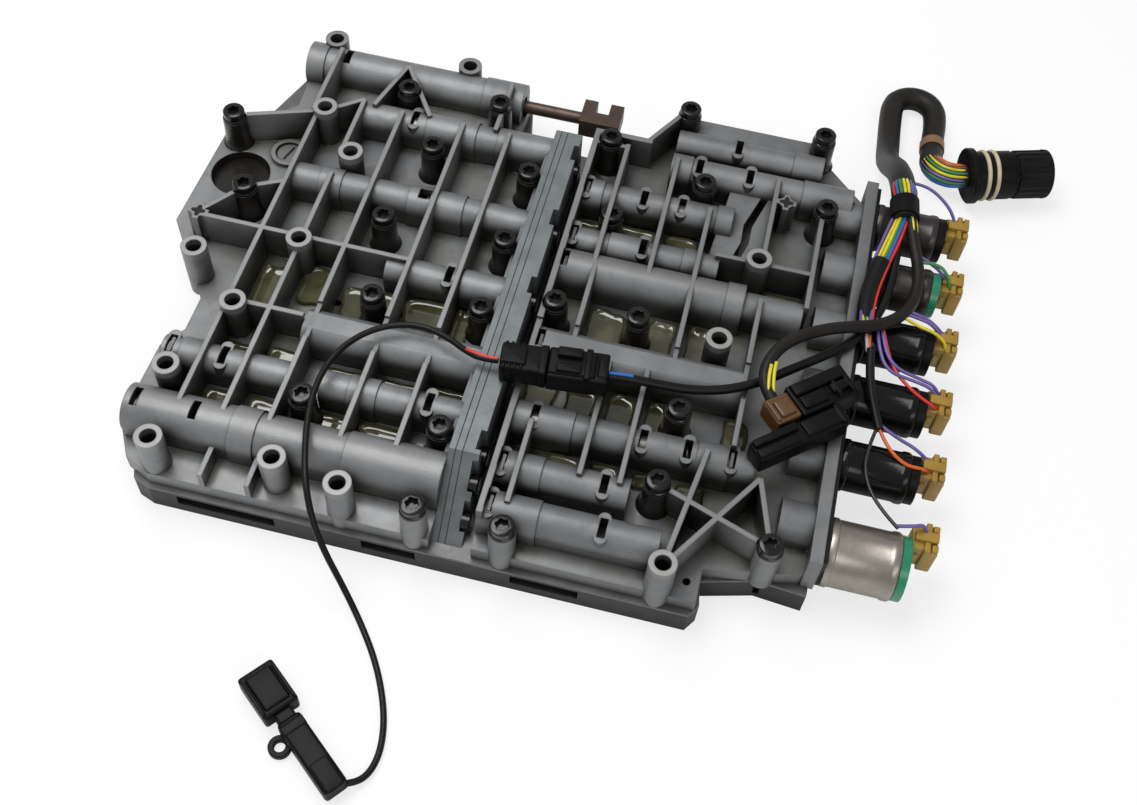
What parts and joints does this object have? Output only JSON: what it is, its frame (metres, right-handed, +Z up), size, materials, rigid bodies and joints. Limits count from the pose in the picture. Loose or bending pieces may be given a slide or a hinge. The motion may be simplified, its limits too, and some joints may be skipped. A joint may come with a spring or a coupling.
{
  "type": "transmission valve body",
  "caption": "Hydraulic valve body of an automatic transmission: two ribbed castings on a lower housing, with sliding valves, solenoids and a wiring loom.",
  "frame": {"origin": "centre of the castings' and solenoids' box, on the lower housing's bottom face", "axes": "+X along the bores towards the solenoids, +Y towards the back of the picture, +Z up from the lower housing"},
  "size_m": [0.4476, 0.4864, 0.0623],
  "materials": {
    "cast_metal": "satin, oily",
    "dark_cast_metal": "satin, oily",
    "cover_metal": "satin, machined edges",
    "plate_steel": "smooth",
    "gasket": "matte",
    "black_screw": "satin, oily",
    "black_metal": "satin",
    "valve_steel": "ground",
    "brown_steel": "tempered brown",
    "spring_steel": "drawn wire",
    "grey_can": "satin",
    "black_can": "gloss",
    "silver_can": "smooth",
    "black_plastic": "matte",
    "green_plastic": "satin",
    "amber_plastic": "satin",
    "brown_plastic": "satin",
    "loom_sleeve": "woven and coated",
    "lead_sheath": "matte",
    "seal": "matte",
    "tan_tape": "matte"
  },
  "bodies": {
    "valve_body": {"lower_housing": "dark_cast_metal", "separator_plate": "plate_steel", "left_housing": "cast_metal", "right_housing": "cast_metal", "inner_end_plate": "cover_metal", "outer_end_plate": "cover_metal", "end_cover": "cover_metal", "end_gaskets": "gasket", "housing_screws": "black_screw", "end_cover_screws": "black_screw", "retaining_strip": "black_metal", "bore_plugs": "valve_steel", "retainer_clips": "plate_steel", "solenoid_retainer": "black_metal", "solenoid_1": "grey_can", "solenoid_2": "grey_can", "solenoid_3": "black_can", "solenoid_4": "black_can", "solenoid_5": "black_can", "solenoid_6": "silver_can", "black_end_caps": "black_plastic", "green_end_caps": "green_plastic", "sensor_lead": "lead_sheath", "link_lead": "lead_sheath", "branch_loom": "loom_sleeve", "main_loom": "loom_sleeve", "inline_plug": "black_plastic", "inline_socket": "black_plastic", "switch_block": "black_plastic", "socket_block": "black_plastic", "amber_plug": "brown_plastic", "speed_sensor": "black_plastic", "bulkhead_connector": "black_plastic", "connector_rings": "seal", "loom_band": "black_plastic", "loom_clip": "tan_tape", "shift_spring": "spring_steel", "pressure_spring": "spring_steel", "clutch_spring": "spring_steel", "converter_spring": "spring_steel", "brake_spring": "spring_steel", "solenoid_plug_1": "amber_plastic", "solenoid_plug_2": "amber_plastic", "solenoid_plug_3": "amber_plastic", "solenoid_plug_4": "amber_plastic", "solenoid_plug_5": "amber_plastic", "solenoid_plug_6": "amber_plastic"},
    "manual_valve": {"manual_valve": "brown_steel"},
    "shift_spool": {"shift_spool": "valve_steel"},
    "pressure_spool": {"pressure_spool": "valve_steel"},
    "clutch_spool": {"clutch_spool": "valve_steel"},
    "converter_spool": {"converter_spool": "valve_steel"},
    "brake_spool": {"brake_spool": "valve_steel"}
  },
  "joints": [
    {"name": "manual_slide", "type": "slide", "parent": "valve_body", "child": "manual_valve", "axis": [1, 0, 0], "range_m": [-0.022, 0.01]},
    {"name": "shift_slide", "type": "slide", "parent": "valve_body", "child": "shift_spool", "axis": [1, 0, 0], "range_m": [0, 0.008], "stiffness_N_per_m": 600, "springref_m": -0.01, "deforming": ["shift_spring"]},
    {"name": "pressure_slide", "type": "slide", "parent": "valve_body", "child": "pressure_spool", "axis": [1, 0, 0], "range_m": [0, 0.008], "stiffness_N_per_m": 600, "springref_m": -0.01, "deforming": ["pressure_spring"]},
    {"name": "clutch_slide", "type": "slide", "parent": "valve_body", "child": "clutch_spool", "axis": [1, 0, 0], "range_m": [0, 0.008], "stiffness_N_per_m": 600, "springref_m": -0.01, "deforming": ["clutch_spring"]},
    {"name": "converter_slide", "type": "slide", "parent": "valve_body", "child": "converter_spool", "axis": [1, 0, 0], "range_m": [-0.008, 0], "stiffness_N_per_m": 600, "springref_m": 0.01, "deforming": ["converter_spring"]},
    {"name": "brake_slide", "type": "slide", "parent": "valve_body", "child": "brake_spool", "axis": [1, 0, 0], "range_m": [0, 0.008], "stiffness_N_per_m": 600, "springref_m": -0.01, "deforming": ["brake_spring"]}
  ]
}
